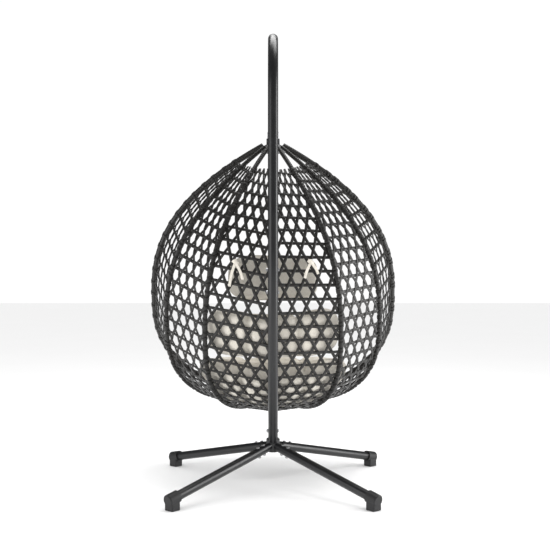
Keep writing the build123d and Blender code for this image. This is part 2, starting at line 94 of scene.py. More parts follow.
# ---- sizes and colours ----
class EGGCHAIR_basket(bpy.types.PropertyGroup):
    """The basket's outline and its cane"""

    tilt: FloatProperty(
        name="Tilt", description="How far the basket leans back as it hangs",
        default=math.radians(19.5), subtype="ANGLE")
    length: FloatProperty(
        name="Length", description="Crown to bottom ring along the basket's axis",
        default=1.282, unit="LENGTH")
    radius: FloatProperty(
        name="Radius", description="Half width at the widest ring", default=0.573, unit="LENGTH")
    widest: FloatProperty(
        name="Widest share", description="Share of the length from the crown to the widest ring",
        default=0.623)
    crown_power: FloatProperty(
        name="Crown fullness", description="Power of the upper outline", default=2.59)
    bottom_power: FloatProperty(
        name="Bottom fullness", description="Power of the lower outline", default=2.35)
    apex: FloatProperty(
        name="Crown height", description="Height of the crown above the floor",
        default=1.527, unit="LENGTH")
    columns: FloatProperty(
        name="Columns", description="Hexagons across one woven panel", default=4.7)
    row_pitch: FloatProperty(
        name="Row pitch", description="Distance between cane rows at the widest ring",
        default=0.0605, unit="LENGTH")
    row_slant: FloatProperty(
        name="Row slant", description="Rows of lattice that the cane drops across one panel",
        default=0.45)
    cane_width: FloatProperty(
        name="Cane width", description="Width of one flat cane strand",
        default=0.0138, unit="LENGTH")
    cane_thickness: FloatProperty(
        name="Cane thickness", description="Thickness of one cane strand",
        default=0.0032, unit="LENGTH")
    rib_radius: FloatProperty(
        name="Rib radius", description="Radius of a wrapped inner rib",
        default=0.0100, unit="LENGTH")
    rim_radius: FloatProperty(
        name="Rim radius", description="Radius of the wrapped rim", default=0.0138, unit="LENGTH")
    wrap_pitch: FloatProperty(
        name="Wrapping pitch", description="Advance of the wound cane for each turn",
        default=0.0105, unit="LENGTH")


class EGGCHAIR_cushions(bpy.types.PropertyGroup):
    """The seat cushion, back cushion and headrest pillow"""

    wall_gap: FloatProperty(
        name="Wall gap", description="Basket outline to the cushion's outer face",
        default=0.037, unit="LENGTH")
    seat_thickness: FloatProperty(
        name="Seat thickness", description="Height of the seat cushion before it swells",
        default=0.086, unit="LENGTH")
    back_thickness: FloatProperty(
        name="Back thickness", description="Depth of the back cushion before it swells",
        default=0.070, unit="LENGTH")
    seat_angle: FloatProperty(
        name="Seat half angle", description="Half of the seat's width round the basket",
        default=math.radians(46.5), subtype="ANGLE")
    back_angle: FloatProperty(
        name="Back half angle", description="Half of the back's width round the basket",
        default=math.radians(34.0), subtype="ANGLE")
    pillow_swell: FloatProperty(
        name="Swell limit", description="Most that the stuffing moves the cloth",
        default=0.022, unit="LENGTH")
    pressure: FloatProperty(
        name="Stuffing", description="Pressure of the stuffing on the cloth", default=4.0)


class EGGCHAIR_finishes(bpy.types.PropertyGroup):
    """Colours of the finishes"""

    coat: FloatVectorProperty(
        name="Powder coat", description="Colour of the coated steel", subtype="COLOR",
        default=(0.0062, 0.0064, 0.0072))
    cane: FloatVectorProperty(
        name="Cane", description="Colour of the woven cane", subtype="COLOR",
        default=(0.0098, 0.0090, 0.0080))
    plastic: FloatVectorProperty(
        name="Foot plastic", description="Colour of the caps", subtype="COLOR",
        default=(0.0085, 0.0085, 0.009))
    steel: FloatVectorProperty(
        name="Zinc steel", description="Colour of the plated fittings", subtype="COLOR",
        default=(0.42, 0.42, 0.43))
    fabric: FloatVectorProperty(
        name="Cushion fabric", description="Colour of the cushion cloth", subtype="COLOR",
        default=(0.80, 0.755, 0.67))


class EGGCHAIR_stage_settings(bpy.types.PropertyGroup):
    """The camera and the studio"""

    distance: FloatProperty(
        name="Camera distance", description="Camera to the hang line",
        default=4.280, unit="LENGTH")
    height: FloatProperty(
        name="Camera height", description="Camera above the floor", default=0.956, unit="LENGTH")
    lens: FloatProperty(
        name="Lens", description="Focal length in millimetres", default=61.5)
    pitch: FloatProperty(
        name="Camera pitch", description="How far the camera looks down",
        default=math.radians(0.55), subtype="ANGLE")
    yaw: FloatProperty(
        name="Camera yaw", description="How far the camera looks to the right",
        default=math.radians(0.12), subtype="ANGLE")
    floor_size: FloatProperty(
        name="Floor size", description="Side of the studio floor", default=40.0, unit="LENGTH")
    seed: IntProperty(name="Seed", description="Seed of the cane's small irregularities", default=7)


def settings(name):
    return getattr(bpy.context.scene, "eggchair_" + name)


# ---- surfaces ----
def shell_profile(t):
    """Radius and distance below the crown.

    From t = 0 to 1 the radius is R (1 - (1 - t) ** crown_power), evenly down to the widest ring.
    From t = 1 to 2 the outline is a quarter of a superellipse down to the bottom.
    """
    b = settings("basket")
    t = np.asarray(t, float)
    v = np.clip(1 - t, 0, 1)
    turn = np.clip(t - 1, 0, 1) * np.pi / 2
    upper = b.radius * (1 - v**b.crown_power)
    lower = b.radius * np.cos(turn)
    drop = b.widest + (1 - b.widest) * np.sin(turn) ** (2 / b.bottom_power)
    radius = np.where(t <= 1, upper, lower)
    below = np.where(t <= 1, b.widest * b.length * t, b.length * drop)
    return radius, below


def shell_normal(t):
    """Outward unit normal of the outline, from its central difference, as (radial, downward)."""
    step = 1e-4
    r0, s0 = shell_profile(np.maximum(t - step, 0.0005))
    r1, s1 = shell_profile(np.minimum(t + step, 1.9995))
    size = np.hypot(r1 - r0, s1 - s0)
    return (s1 - s0) / size, -(r1 - r0) / size


def hang(points):
    """Basket coordinates to the row frame: a turn about X by the tilt, then up to the crown."""
    b = settings("basket")
    c, s = math.cos(b.tilt), math.sin(b.tilt)
    x, y, z = points[..., 0], points[..., 1], points[..., 2]
    return np.stack([x, c * y - s * z + HANG_Y, s * y + c * z + b.apex], -1)


def hang_direction(vectors):
    return hang(vectors) - hang(np.zeros(3))


def on_shell(t, angle, inward):
    """A point and outward normal on the round shell, inward metres inside its outline."""
    t, angle, inward = np.broadcast_arrays(t, angle, inward)
    radius, below = shell_profile(t)
    n_r, n_s = shell_normal(t)
    r = radius - inward * n_r
    s = below - inward * n_s
    point = np.stack([r * np.sin(angle), -r * np.cos(angle), -s], -1)
    normal = np.stack([n_r * np.sin(angle), -n_r * np.cos(angle), -n_s], -1)
    return hang(point), hang_direction(normal)


def on_panel(t, share, left, right, lift):
    """A point and normal on a woven panel: straight between its two ribs, bowed along them."""
    radius, below = shell_profile(t)
    n_r, n_s = shell_normal(t)
    a = np.stack([radius * np.sin(left), -radius * np.cos(left), -below], -1)
    b = np.stack([radius * np.sin(right), -radius * np.cos(right), -below], -1)
    middle = (left + right) / 2
    normal = np.stack([n_r * np.sin(middle), -n_r * np.cos(middle), -n_s], -1)
    share = np.asarray(share)[..., None]
    point = a * (1 - share) + b * share + normal * np.asarray(lift)[..., None]
    return hang(point), hang_direction(normal)


def arc_table(count=1200):
    """The outline's parameter against its length from the crown, for even spacing along a rib."""
    t = np.linspace(0.002, 1.985, count)
    radius, below = shell_profile(t)
    length = np.concatenate([[0], np.cumsum(np.hypot(np.diff(radius), np.diff(below)))])
    return t, length


def row_table():
    """The outline's parameter against the number of cane rows from the crown.

    Rows are one pitch apart down to the widest ring and close up towards the bottom.
    """
    b = settings("basket")
    t, length = arc_table()
    tighten = 1 - 0.42 * np.clip((t - 1.0) / 0.9, 0, 1) ** 1.3
    pitch = b.row_pitch * tighten
    middle = (pitch[1:] + pitch[:-1]) / 2
    rows = np.concatenate([[0], np.cumsum(np.diff(length) / middle)])
    return t, rows


# ---- meshes ----
class Patches:
    """Collects tubes and grids as arrays and turns them into one mesh with a UV map."""

    def __init__(self):
        self.points = []
        self.faces = []
        self.uvs = []
        self.count = 0

    def tube(self, rings, along, closed=False):
        """Rings of shape (stations, sides, 3), joined side by side.

        along is each station's length from the tube's start, and becomes the UV map's first part.
        """
        stations, sides = rings.shape[:2]
        index = np.arange(stations * sides).reshape(stations, sides) + self.count
        rows = index if not closed else np.vstack([index, index[:1]])
        a, b = rows[:-1], rows[1:]
        quads = np.stack([a, np.roll(a, -1, 1), np.roll(b, -1, 1), b], -1).reshape(-1, 4)
        around = np.arange(sides) / sides
        u = np.asarray(along)
        if closed:
            u = np.append(u, u[-1] + (u[-1] - u[-2]))
        u0 = np.repeat(u[:-1], sides)
        u1 = np.repeat(u[1:], sides)
        v0 = np.tile(around, len(u) - 1)
        v1 = v0 + 1 / sides
        uv = np.stack([u0, v0, u0, v1, u1, v1, u1, v0], -1).reshape(-1, 2)
        self.points.append(rings.reshape(-1, 3))
        self.faces.append(quads)
        self.uvs.append(uv)
        if not closed:
            for ring, flip in ((index[0], True), (index[-1], False)):
                cap = ring[::-1] if flip else ring
                fan = self.cap_quads(cap)
                self.faces.append(fan)
                self.uvs.append(np.zeros((fan.size, 2)))
        self.count += stations * sides

    @staticmethod
    def cap_quads(ring):
        """Quads that close an even ring: strips between its two halves."""
        half = len(ring) // 2
        left = ring[:half]
        right = ring[half:][::-1]
        return np.stack([left[:-1], left[1:], right[1:], right[:-1]], -1)

    def mesh(self, name):
        points = np.concatenate(self.points)
        faces = np.concatenate(self.faces)
        data = bpy.data.meshes.new(name)
        data.vertices.add(len(points))
        data.vertices.foreach_set("co", points.astype(np.float32).ravel())
        data.loops.add(faces.size)
        data.loops.foreach_set("vertex_index", faces.astype(np.int32).ravel())
        data.polygons.add(len(faces))
        data.polygons.foreach_set("loop_start", np.arange(0, faces.size, 4, dtype=np.int32))
        layer = data.uv_layers.new(name="UVMap")
        data.update(calc_edges=True)
        layer.data.foreach_set("uv", np.concatenate(self.uvs).astype(np.float32).ravel())
        data.polygons.foreach_set("use_smooth", np.ones(len(faces), bool))
        data.validate()
        piece = bpy.data.objects.new(name, data)
        bpy.context.scene.collection.objects.link(piece)
        return piece


def oval_ring(points, normals, half_width, half_thickness, sides):
    """Rings about a path: at each point an oval, wide across the path and thin along the normal."""
    tangent = np.gradient(points, axis=0)
    tangent /= np.linalg.norm(tangent, axis=-1, keepdims=True)
    across = np.cross(normals, tangent)
    across /= np.linalg.norm(across, axis=-1, keepdims=True)
    out = np.cross(tangent, across)
    turn = np.linspace(0, 2 * np.pi, sides, endpoint=False)
    power = 0.62
    c = np.sign(np.cos(turn)) * np.abs(np.cos(turn)) ** power
    s = np.sign(np.sin(turn)) * np.abs(np.sin(turn)) ** power
    width = np.asarray(half_width).reshape(-1, 1, 1) * c[None, :, None]
    thick = np.asarray(half_thickness).reshape(-1, 1, 1) * s[None, :, None]
    return points[:, None] - across[:, None] * width + out[:, None] * thick


def length_along(points):
    return np.concatenate([[0], np.cumsum(np.linalg.norm(np.diff(points, axis=0), axis=1))])


# ---- materials ----
def new_material(name):
    material = bpy.data.materials.new(name)
    material.use_nodes = True
    tree = material.node_tree
    shader = tree.nodes["Principled BSDF"]
    return material, tree, shader


def add_node(tree, kind, **values):
    node = tree.nodes.new(kind)
    for key, value in values.items():
        if key in node.inputs:
            node.inputs[key].default_value = value
        else:
            setattr(node, key, value)
    return node


def noise(tree, source, scale, detail=3.0):
    node = add_node(tree, "ShaderNodeTexNoise")
    node.inputs["Scale"].default_value = scale
    node.inputs["Detail"].default_value = detail
    tree.links.new(source, node.inputs["Vector"])
    return node.outputs["Fac"]


def spread(tree, value, low, high):
    """Noise, which mostly stays between 0.3 and 0.7, spread over low to high and held there."""
    node = add_node(tree, "ShaderNodeMapRange")
    node.inputs["From Min"].default_value = 0.3
    node.inputs["From Max"].default_value = 0.7
    node.inputs["To Min"].default_value = low
    node.inputs["To Max"].default_value = high
    tree.links.new(value, node.inputs["Value"])
    return node.outputs["Result"]


def mix_colours(tree, factor, first, second):
    node = add_node(tree, "ShaderNodeMix", data_type="RGBA")
    node.inputs[6].default_value = (*first, 1)
    node.inputs[7].default_value = (*second, 1)
    tree.links.new(factor, node.inputs[0])
    return node.outputs[2]


def bump(tree, height, distance, strength=1.0, under=None):
    node = add_node(tree, "ShaderNodeBump")
    node.inputs["Distance"].default_value = distance
    node.inputs["Strength"].default_value = strength
    tree.links.new(height, node.inputs["Height"])
    if under is not None:
        tree.links.new(under, node.inputs["Normal"])
    return node.outputs["Normal"]


def object_coordinates(tree):
    return add_node(tree, "ShaderNodeTexCoord").outputs["Object"]


def scaled(colour, factor):
    return tuple(min(1.0, c * factor) for c in colour)


def powder_coat_finish():
    """Satin black powder coat: a fine orange peel, cloudy gloss and a little dust."""
    material, tree, shader = new_material("satin_powder_coat")
    colour = tuple(settings("finishes").coat)
    where = object_coordinates(tree)
    cloud = noise(tree, where, 9.0)
    peel = noise(tree, where, 620.0, 2.0)
    grit = noise(tree, where, 2600.0, 1.0)
    tree.links.new(mix_colours(tree, spread(tree, cloud, 0, 1), colour, scaled(colour, 1.5)),
                   shader.inputs["Base Color"])
    tree.links.new(spread(tree, cloud, 0.30, 0.40), shader.inputs["Roughness"])
    shader.inputs["Coat Weight"].default_value = 0.10
    shader.inputs["Coat Roughness"].default_value = 0.22
    base = bump(tree, peel, 0.00016)
    tree.links.new(bump(tree, grit, 0.00005, under=base), shader.inputs["Normal"])
    return material


def plastic_finish():
    """Moulded black plastic with a fine spark-eroded grain and scuffed, greyer patches."""
    material, tree, shader = new_material("moulded_plastic")
    colour = tuple(settings("finishes").plastic)
    where = object_coordinates(tree)
    scuff = noise(tree, where, 34.0, 6.0)
    grain = noise(tree, where, 1700.0, 2.0)
    tree.links.new(mix_colours(tree, spread(tree, scuff, 0, 1), colour, scaled(colour, 2.1)),
                   shader.inputs["Base Color"])
    tree.links.new(spread(tree, scuff, 0.48, 0.62), shader.inputs["Roughness"])
    tree.links.new(bump(tree, grain, 0.00012), shader.inputs["Normal"])
    return material


def zinc_finish():
    """Bright zinc plating: drawn lines along Z, cloudy gloss."""
    material, tree, shader = new_material("zinc_plated_steel")
    colour = tuple(settings("finishes").steel)
    where = object_coordinates(tree)
    stretch = add_node(tree, "ShaderNodeMapping")
    stretch.inputs["Scale"].default_value = (1.0, 1.0, 0.06)
    tree.links.new(where, stretch.inputs["Vector"])
    drawn = noise(tree, stretch.outputs["Vector"], 1500.0, 2.0)
    cloud = noise(tree, where, 60.0)
    shader.inputs["Metallic"].default_value = 1.0
    tree.links.new(mix_colours(tree, cloud, scaled(colour, 0.8), scaled(colour, 1.15)),
                   shader.inputs["Base Color"])
    tree.links.new(spread(tree, cloud, 0.24, 0.40), shader.inputs["Roughness"])
    tree.links.new(bump(tree, drawn, 0.00006), shader.inputs["Normal"])
    return material


def cane_finish():
    """Black plastic cane: fine streaks along each strand, with a soft sheen.

    The UV map's first coordinate is metres along the strand and the second goes once round it.
    """
    material, tree, shader = new_material("black_cane")
    colour = tuple(settings("finishes").cane)
    uv = add_node(tree, "ShaderNodeUVMap", uv_map="UVMap").outputs["UV"]
    stretch = add_node(tree, "ShaderNodeMapping")
    stretch.inputs["Scale"].default_value = (14.0, 26.0, 1.0)
    tree.links.new(uv, stretch.inputs["Vector"])
    streak = noise(tree, stretch.outputs["Vector"], 1.0, 4.0)
    cloud = noise(tree, object_coordinates(tree), 22.0, 4.0)
    dark, pale = scaled(colour, 0.75), scaled(colour, 1.7)
    tree.links.new(mix_colours(tree, spread(tree, streak, 0, 1), dark, pale),
                   shader.inputs["Base Color"])
    tree.links.new(spread(tree, cloud, 0.36, 0.50), shader.inputs["Roughness"])
    tree.links.new(bump(tree, streak, 0.00030), shader.inputs["Normal"])
    return material


def fabric_finish():
    """Woven polyester: two crossed sets of threads, slubs, and warm shading in the colour."""
    material, tree, shader = new_material("cushion_cloth")
    colour = tuple(settings("finishes").fabric)
    where = object_coordinates(tree)
    waves = []
    for axis in ("X", "Z"):
        wave = add_node(tree, "ShaderNodeTexWave", wave_type="BANDS", bands_direction=axis)
        wave.inputs["Scale"].default_value = 330.0
        wave.inputs["Distortion"].default_value = 1.4
        wave.inputs["Detail"].default_value = 1.0
        tree.links.new(where, wave.inputs["Vector"])
        waves.append(wave.outputs["Fac"])
    weave = add_node(tree, "ShaderNodeMath", operation="ADD")
    tree.links.new(waves[0], weave.inputs[0])
    tree.links.new(waves[1], weave.inputs[1])
    slub = noise(tree, where, 240.0, 4.0)
    crease = noise(tree, where, 16.0, 5.0)
    tone = mix_colours(tree, spread(tree, slub, 0, 1), scaled(colour, 0.90), scaled(colour, 1.06))
    tree.links.new(tone, shader.inputs["Base Color"])
    shader.inputs["Roughness"].default_value = 0.92
    shader.inputs["Sheen Weight"].default_value = 0.25
    shader.inputs["Sheen Roughness"].default_value = 0.5
    threads = bump(tree, weave.outputs["Value"], 0.0004, 0.6)
    tree.links.new(bump(tree, crease, 0.003, 0.5, under=threads), shader.inputs["Normal"])
    return material


def studio_finish():
    """Plain pale paper of the floor and backdrop."""
    material, tree, shader = new_material("pale_floor")
    where = object_coordinates(tree)
    tone = mix_colours(tree, noise(tree, where, 1.5), (0.90, 0.90, 0.90), (0.92, 0.92, 0.92))
    tree.links.new(tone, shader.inputs["Base Color"])
    shader.inputs["Roughness"].default_value = 0.9
    shader.inputs["Specular IOR Level"].default_value = 0.1
    return material


FINISHES = {
    "powder_coat": powder_coat_finish,
    "black_plastic": plastic_finish,
    "zinc_steel": zinc_finish,
    "wrapped_tube": cane_finish,
    "cane_weave": cane_finish,
    "cushion_fabric": fabric_finish,
}
made = {}


def finish_for(slot):
    """The material of a slot, made once. Slots that share a recipe share its material."""
    recipe = FINISHES[slot]
    if recipe not in made:
        made[recipe] = recipe()
    return made[recipe]


def dress(piece, slot, body, *nodes):
    """Gives a new piece its finish, its body and the CAD nodes that it stands for."""
    piece.data.materials.clear()
    piece.data.materials.append(finish_for(slot))
    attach(piece, body)
    if nodes:
        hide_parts(*nodes)
    return piece


# ---- wrapped ribs ----
def rib_points(angle, start, end):
    """A rib's outline parameters, lengths, points and normals, a fifth of a winding apart."""
    t, length = arc_table()
    b = settings("basket")
    step = b.wrap_pitch / 5
    even = np.arange(start, length[-1] - end, step)
    at = np.interp(even, length, t)
    return at, even, *on_shell(at, np.full_like(at, angle), 0.0)


def lashing_places(panel):
    """The outline's parameter of each place where a panel's cane meets its ribs, as two arrays."""
    ends = {-1: [], 1: []}
    for points, share in cane_lines(panel):
        for place, side in ((0, share[0]), (-1, share[-1])):
            if side < 0.001:
                ends[-1].append(points[place])
            elif side > 0.999:
                ends[1].append(points[place])
    return np.sort(ends[-1]), np.sort(ends[1])


def add_lashings(patches, angle, core, places, lean):
    """Loops of cane over a rib: rings tilted by the lean, one at each place on the outline."""
    b = settings("basket")
    sides = 18
    turn = np.linspace(0, 2 * np.pi, sides, endpoint=False)
    for t in places:
        window = np.clip(t + np.array([-0.004, 0.0, 0.004]), 0.003, 1.98)
        centre, normal = on_shell(window, np.full(3, angle), 0.0)
        along = centre[2] - centre[0]
        along /= np.linalg.norm(along)
        out = normal[1]
        across = np.cross(along, out)
        reach = core + b.cane_thickness * 0.25
        ring = (centre[1] + np.outer(np.cos(turn), out) * reach
                + np.outer(np.sin(turn), across) * reach
                + np.outer(np.sin(turn) * lean * reach, along))
        radial = np.outer(np.cos(turn), out) + np.outer(np.sin(turn), across)
        closed = np.vstack([ring[-1:], ring, ring[:1]])
        tangent = closed[2:] - closed[:-2]
        tangent /= np.linalg.norm(tangent, axis=1, keepdims=True)
        wide = np.cross(radial, tangent)
        corner = np.linspace(0, 2 * np.pi, 6, endpoint=False)
        width = np.cos(corner)[None, :, None] * b.cane_width * 0.5
        thick = np.sin(corner)[None, :, None] * b.cane_thickness * 0.5
        rings = ring[:, None] - wide[:, None] * width + radial[:, None] * thick
        patches.tube(rings, turn * reach, closed=True)


def wrapped_rib(name, degrees, core, start, places, node):
    """A rib wound with flat cane.

    The radius is core - WRAP_RELIEF * (1 - |cos(pi w)| ** 0.5), where w is turns along the rib less
    turns round it. That makes the winding a helix, with a groove between its turns.
    """
    b = settings("basket")
    angle = math.radians(degrees)
    at, even, centre, normal = rib_points(angle, start, RIB_END)
    sides = 20
    turn = np.linspace(0, 2 * np.pi, sides, endpoint=False)
    tangent = np.gradient(centre, axis=0)
    tangent /= np.linalg.norm(tangent, axis=1, keepdims=True)
    across = np.cross(tangent, normal)
    winding = even[:, None] / b.wrap_pitch - turn[None, :] / (2 * np.pi)
    relief = WRAP_RELIEF * np.abs(np.cos(np.pi * winding)) ** 0.5
    reach = (core - WRAP_RELIEF + relief)[..., None]
    rings = (centre[:, None] + normal[:, None] * np.cos(turn)[None, :, None] * reach
             + across[:, None] * np.sin(turn)[None, :, None] * reach)
    patches = Patches()
    patches.tube(rings[:, ::-1], even)
    for spots, lean in places:
        add_lashings(patches, angle, core, spots, lean)
    piece = patches.mesh(name)
    return dress(piece, "wrapped_tube", "basket", node)


# ---- open hexagon weave ----
def cane_lines(panel):
    """A panel's strands without their heights: arrays of outline parameter and share across."""
    return [(t, share) for t, share, _ in cane_strands(panel)]


def cane_strands(panel):
    """The three sets of cane in one panel: outline parameter, share across and height.

    In lattice terms c counts columns across and w counts rows down. The level set is w = k + 1/2,
    and the two slanting sets are c = k + 1/2 + w/2 and c = k + 1/2 - w/2, shifted from panel to
    panel, which leaves hexagons between small triangles. Rows slant by row_slant over the width.
    """
    b = settings("basket")
    t_table, row_of = row_table()
    first = np.interp(PANEL_TOP, t_table, row_of)
    last = np.interp(PANEL_BOTTOM, t_table, row_of)
    half = b.columns / 2
    amplitude = b.cane_thickness * 0.52
    shift = 0.37 * panel
    strands = []

    def lay(c, w, height):
        level = w + b.row_slant * (c / b.columns)
        t = np.interp(level, row_of, t_table)
        keep = (level > first) & (level < last) & (np.abs(c) <= half + 1e-9)
        if keep.sum() < 6:
            return
        strands.append((t[keep], c[keep] / b.columns + 0.5, height[keep]))

    for k in range(int(first) - 1, int(last) + 2):
        c = np.linspace(-half, half, int(b.columns * 9))
        w = np.full_like(c, k + 0.5)
        lay(c, w, amplitude * np.cos(2 * np.pi * (c - shift - 0.5 - w / 2)))
    reach = int(half + last / 2) + 3
    for side in (1, -1):
        for k in range(-reach, reach + 1):
            w0 = (-half - k - 0.5 - shift) * 2 * side
            w1 = (half - k - 0.5 - shift) * 2 * side
            low, high = max(min(w0, w1), first - 1), min(max(w0, w1), last + 1)
            if high - low < 0.4:
                continue
            w = np.linspace(low, high, max(int((high - low) * 9), 8))
            c = k + 0.5 + shift + side * w / 2
            lay(c, w, side * amplitude * np.cos(2 * np.pi * w))
    return strands


def woven_panel(number, left, right):
    """One panel's cane as flat strands that pass over and under each other."""
    b = settings("basket")
    random = np.random.default_rng(settings("stage_settings").seed + number)
    patches = Patches()
    left, right = math.radians(left), math.radians(right)
    for t, share, height in cane_strands(number):
        wander = random.normal(0, 0.0005)
        points, normals = on_panel(t, share, left, right, height + wander)
        width = b.cane_width / 2 * random.uniform(0.92, 1.06)
        narrow = np.clip(shell_profile(t)[0] / 0.30, 0.62, 1.0)
        rings = oval_ring(points, normals, width * narrow, b.cane_thickness / 2, 8)
        patches.tube(rings, length_along(points) + random.uniform(0, 5))
    piece = patches.mesh("cane_panel_%d" % number)
    return dress(piece, "cane_weave", "basket", "weave_panel_%d" % number)


# ---- cushions ----
def superellipse(turn, power):
    c, s = np.cos(turn), np.sin(turn)
    return np.sign(c) * np.abs(c) ** power, np.sign(s) * np.abs(s) ** power


def stuffed_form(name, place, sides=96, levels=40):
    """A crowned closed form: rings of a superellipse that shrink to both faces.

    place(x, y, z) puts x and y, each -1 to 1 across the cushion, and z, -1 to 1 through it, in
    space.
    """
    turn = np.linspace(0, 2 * np.pi, sides, endpoint=False)
    rise = np.linspace(-np.pi / 2 + 0.04, np.pi / 2 - 0.04, levels)
    x, y = superellipse(turn, OUTLINE_POWER)
    wide, high = superellipse(rise, FACE_POWER)
    through = np.repeat(high[:, None], sides, 1)
    grid = place(wide[:, None] * x[None, :], wide[:, None] * y[None, :], through)
    patches = Patches()
    patches.tube(grid, np.linspace(0, 1, levels))
    return patches.mesh(name)


def point_cloud(piece):
    points = np.empty(len(piece.data.vertices) * 3, np.float32)
    piece.data.vertices.foreach_get("co", points)
    return points.reshape(-1, 3).astype(float)


def move_points(piece, points):
    piece.data.vertices.foreach_set("co", points.astype(np.float32).ravel())
    piece.data.update()


def only(piece):
    bpy.ops.object.select_all(action="DESELECT")
    piece.select_set(True)
    bpy.context.view_layer.objects.active = piece


def apply_all(piece):
    only(piece)
    for modifier in list(piece.modifiers):
        bpy.ops.object.modifier_apply(modifier=modifier.name)


def stuff(piece, voxel):
    """Even mesh, then a cloth under pressure for a few frames, with each point's move limited."""
    cushions = settings("cushions")
    remesh = piece.modifiers.new("even", "REMESH")
    remesh.mode = "VOXEL"
    remesh.voxel_size = voxel
    remesh.use_smooth_shade = True
    apply_all(piece)
    rest = point_cloud(piece)
    cloth = piece.modifiers.new("cloth", "CLOTH")
    cloth.settings.use_pressure = True
    cloth.settings.uniform_pressure_force = cushions.pressure
    cloth.settings.effector_weights.gravity = 0
    cloth.settings.quality = 4
    scene = bpy.context.scene
    for step in range(1, SWELL_FRAMES + 1):
        scene.frame_set(step)
    apply_all(piece)
    scene.frame_set(1)
    moved = point_cloud(piece)
    offset = moved - rest
    size = np.linalg.norm(offset, axis=1, keepdims=True)
    limit = np.minimum(1, cushions.pillow_swell / np.maximum(size, 1e-9))
    move_points(piece, rest + offset * limit)
    return piece


def smooth_off(piece):
    round_off = piece.modifiers.new("round", "SUBSURF")
    round_off.levels = 1
    round_off.render_levels = 1
    apply_all(piece)
    piece.data.polygons.foreach_set("use_smooth", np.ones(len(piece.data.polygons), bool))
    piece.data.update()
    return piece


def crease_at(distance, depth, width):
    """A sewn line's pull: depth at the line, easing off as a bell over the width."""
    return depth * np.exp(-((distance / width) ** 2))


def tangle(points, scale):
    """Soft puckers: the product of slow sines along three slanting directions."""
    x, y, z = (points * scale).T
    return np.sin(x + 0.7 * y) * np.sin(1.3 * y - 0.6 * z) * np.sin(z * 1.1 + 0.5 * x)


def shell_cushion(name, node, t_from, t_to, half_angle, thickness, voxel):
    """A cushion that lies in the shell between two of its outline's parameters."""
    gap = settings("cushions").wall_gap
    middle, half = (t_from + t_to) / 2, (t_to - t_from) / 2

    def place(x, y, z):
        return on_shell(middle + y * half, x * half_angle, gap + thickness * (0.5 - z / 2))[0]

    piece = stuffed_form(name, place)
    stuff(piece, voxel)
    smooth_off(piece)
    points = point_cloud(piece)
    crown = hang(np.zeros(3))
    axis = hang_direction(np.array([0.0, 0.0, -1.0]))
    below = (points - crown) @ axis
    radial = points - crown - below[:, None] * axis
    angle = np.arctan2(radial[:, 0], -radial @ hang_direction(np.array([0.0, 1.0, 0.0])))
    normal = np.empty(len(points) * 3, np.float32)
    piece.data.vertices.foreach_get("normal", normal)
    normal = normal.reshape(-1, 3)
    pull = np.zeros(len(points))
    reach = np.linalg.norm(radial, axis=1)
    for share in SEAMS:
        beside = (angle - share * half_angle) * np.maximum(reach, 0.1)
        pull += crease_at(beside, SEAM_DEPTH, SEAM_WIDTH)
    pull -= PUCKER_DEPTH * tangle(points, PUCKER_SCALE)
    move_points(piece, points - normal * pull[:, None])
    ring = np.linspace(0, 2 * np.pi, WELT_POINTS, endpoint=False)
    across, along = superellipse(ring, OUTLINE_POWER)
    add_welt(name + "_welt", piece, place(across, along, np.zeros(WELT_POINTS)))
    dress(piece, "cushion_fabric", "basket", node)
    return piece


def add_welt(name, piece, outline):
    """The corded seam round a cushion: a thin tube on the cloth's points nearest the outline."""
    cloth = point_cloud(piece)
    gap = np.linalg.norm(cloth[None, ::2] - outline[:, None], axis=-1)
    path = cloth[::2][gap.argmin(1)]
    centre = path.mean(0)
    for _ in range(6):
        path = (np.roll(path, 1, 0) + 2 * path + np.roll(path, -1, 0)) / 4
    path += (path - centre) / np.linalg.norm(path - centre, axis=1, keepdims=True) * 0.0015
    tangent = np.roll(path, -1, 0) - np.roll(path, 1, 0)
    tangent /= np.linalg.norm(tangent, axis=1, keepdims=True)
    out = path - centre
    out -= (out * tangent).sum(1, keepdims=True) * tangent
    out /= np.linalg.norm(out, axis=1, keepdims=True)
    side = np.cross(tangent, out)
    turn = np.linspace(0, 2 * np.pi, 10, endpoint=False)
    rings = path[:, None] + WELT_RADIUS * (np.cos(turn)[None, :, None] * out[:, None]
                                           + np.sin(turn)[None, :, None] * side[:, None])
    patches = Patches()
    patches.tube(rings, length_along(path), closed=True)
    welt = patches.mesh(name)
    dress(welt, "cushion_fabric", "basket")


def headrest():
    """The pillow: a crowned block in the pillow solid's box, tilted with it."""
    low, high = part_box("headrest_pillow")
    centre = np.array((low + high) / 2)
    size = np.array(high - low)
    lean = math.radians(-6.0)

    def place(x, y, z):
        pinch = 1 - 0.10 * np.abs(x) ** 3
        local = np.stack(
            [x * size[0] * 0.49, z * size[1] * 0.40, y * size[2] * 0.47 * pinch], -1)
        c, s = math.cos(lean), math.sin(lean)
        turned = np.stack([local[..., 0], c * local[..., 1] - s * local[..., 2],
                           s * local[..., 1] + c * local[..., 2]], -1)
        return turned + centre

    piece = stuffed_form("headrest_pillow_soft", place)
    stuff(piece, 0.005)
    smooth_off(piece)
    points = point_cloud(piece)
    puckers = tangle(points, PILLOW_PUCKER_SCALE)[:, None]
    move_points(piece, points + (points - centre) * PILLOW_PUCKER * puckers)
    ring = np.linspace(0, 2 * np.pi, WELT_POINTS, endpoint=False)
    across, along = superellipse(ring, OUTLINE_POWER)
    add_welt("headrest_welt", piece, place(across, along, np.zeros(WELT_POINTS)))
    dress(piece, "cushion_fabric", "basket", "headrest_pillow")
    return piece


